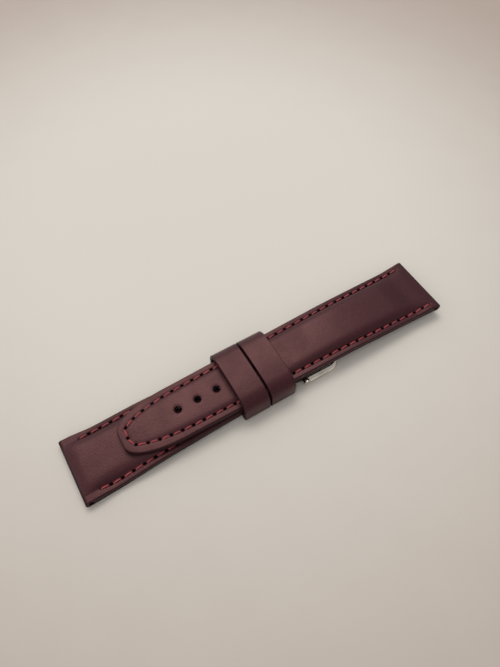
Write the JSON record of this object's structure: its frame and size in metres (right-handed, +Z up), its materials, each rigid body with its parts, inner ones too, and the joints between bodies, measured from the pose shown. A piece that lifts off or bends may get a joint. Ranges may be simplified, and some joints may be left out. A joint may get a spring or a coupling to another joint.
{
  "type": "leather watch strap",
  "caption": "Two-piece padded leather watch strap with contrast stitching, keeper loops and a pin buckle, laid flat and closed through its keepers.",
  "frame": {"origin": "middle of the strap's box at the surface that it lies on", "axes": "+X along the strap from the buckle piece's lug end to the hole piece's lug end, +Y across it, +Z up out of the grain side"},
  "size_m": [0.134, 0.0238, 0.0098],
  "materials": {
    "upper_leather": "smooth semi-matte burgundy leather with a fine grain and dark painted edges",
    "keeper_leather": "smooth semi-matte burgundy leather with plain cut edges",
    "lining_leather": "matte lining leather, burgundy brown",
    "padding": "firm felt padding, hidden",
    "tape": "woven non-stretch tape, hidden",
    "thread": "twisted red polyester thread with a slight sheen",
    "polished_steel": "polished stainless steel",
    "bar_steel": "drawn stainless steel",
    "spring_steel": "spring wire, hidden"
  },
  "bodies": {
    "short_strap": {"short_upper": "upper_leather", "short_padding": "padding", "short_stiffener": "tape", "short_lining": "lining_leather", "short_stitching_near": "thread", "short_stitching_far": "thread", "fixed_keeper_outer": "keeper_leather", "fixed_keeper_lining": "lining_leather"},
    "long_strap": {"long_upper": "upper_leather", "long_padding": "padding", "long_stiffener": "tape", "long_lining": "lining_leather", "long_stitching": "thread"},
    "free_keeper": {"free_keeper_outer": "keeper_leather", "free_keeper_lining": "lining_leather"},
    "buckle": {"buckle_frame": "polished_steel"},
    "tongue": {"buckle_tongue": "polished_steel"},
    "spring_bar": {"bar_tube": "bar_steel", "bar_spring": "spring_steel"},
    "pin_near": {"bar_pin_near": "bar_steel"},
    "pin_far": {"bar_pin_far": "bar_steel"}
  },
  "joints": [
    {"name": "long_strap_slide", "type": "slide", "parent": "short_strap", "child": "long_strap", "axis": [1, 0, 0], "range_m": [0, 0.09]},
    {"name": "free_keeper_slide", "type": "slide", "parent": "short_strap", "child": "free_keeper", "axis": [-1, 0, 0], "range_m": [0, 0.02]},
    {"name": "spring_bar_turn", "type": "hinge", "parent": "short_strap", "child": "spring_bar", "pos_m": [0.01, 0, 0.0018], "axis": [0, 1, 0], "continuous": true},
    {"name": "buckle_swing", "type": "hinge", "parent": "short_strap", "child": "buckle", "pos_m": [0.01, 0, 0.0018], "axis": [0, 1, 0], "range_deg": [0, 100]},
    {"name": "tongue_lift", "type": "hinge", "parent": "buckle", "child": "tongue", "pos_m": [0.01, 0, 0.0018], "axis": [0, 1, 0], "range_deg": [-5, 0]},
    {"name": "pin_near_press", "type": "slide", "parent": "spring_bar", "child": "pin_near", "axis": [0, 1, 0], "range_m": [0, 0.0012], "stiffness_N_per_m": 600, "springref_m": -0.001, "deforming": ["bar_spring"]},
    {"name": "pin_far_press", "type": "slide", "parent": "spring_bar", "child": "pin_far", "axis": [0, -1, 0], "range_m": [0, 0.0012], "stiffness_N_per_m": 600, "springref_m": -0.001, "deforming": ["bar_spring"]}
  ]
}
